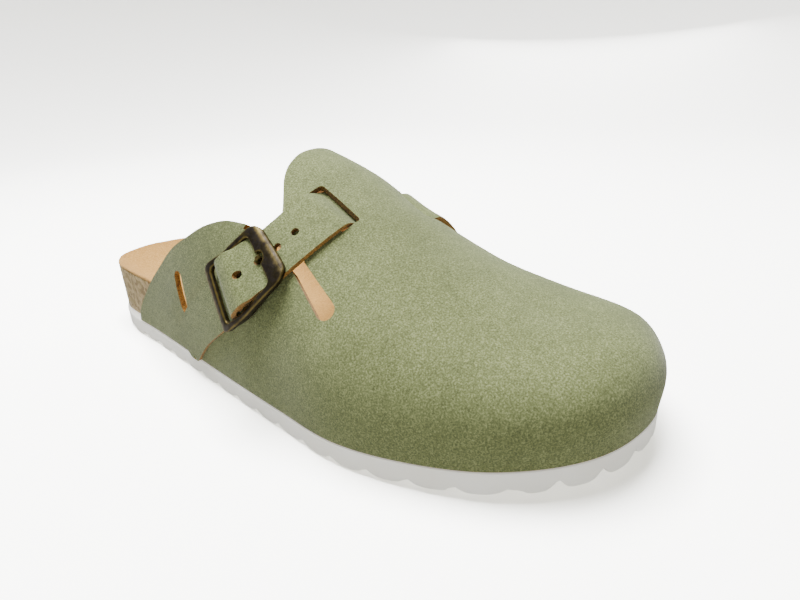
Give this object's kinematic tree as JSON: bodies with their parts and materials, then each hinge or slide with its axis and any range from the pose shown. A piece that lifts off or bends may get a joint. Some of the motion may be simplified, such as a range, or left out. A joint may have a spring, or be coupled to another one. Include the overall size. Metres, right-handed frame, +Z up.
{
  "type": "clog slipper",
  "caption": "Right-foot buckled clog with closed rounded toe, open heel, contoured cork footbed, ribbed foam sole and an instep strap with pin buckle.",
  "frame": {"origin": "middle of the bounding box's bottom, on the floor under the sole", "axes": "+Z up, toe to -Y and heel to +Y, outer (lateral) side to -X and inner (medial) side to +X"},
  "size_m": [0.1026, 0.266, 0.0897],
  "materials": {
    "sole_foam": "matt foam",
    "cork": "sealed cork",
    "suede_lining": "suede",
    "olive_nubuck": "nubuck",
    "antique_brass": "antique, worn"
  },
  "bodies": {
    "root": {"outsole": "sole_foam", "footbed": "cork", "insole": "suede_lining", "upper": "olive_nubuck", "strap": "olive_nubuck", "carrier_tab": "olive_nubuck", "buckle_frame": "antique_brass", "prong": "antique_brass"}
  },
  "joints": []
}
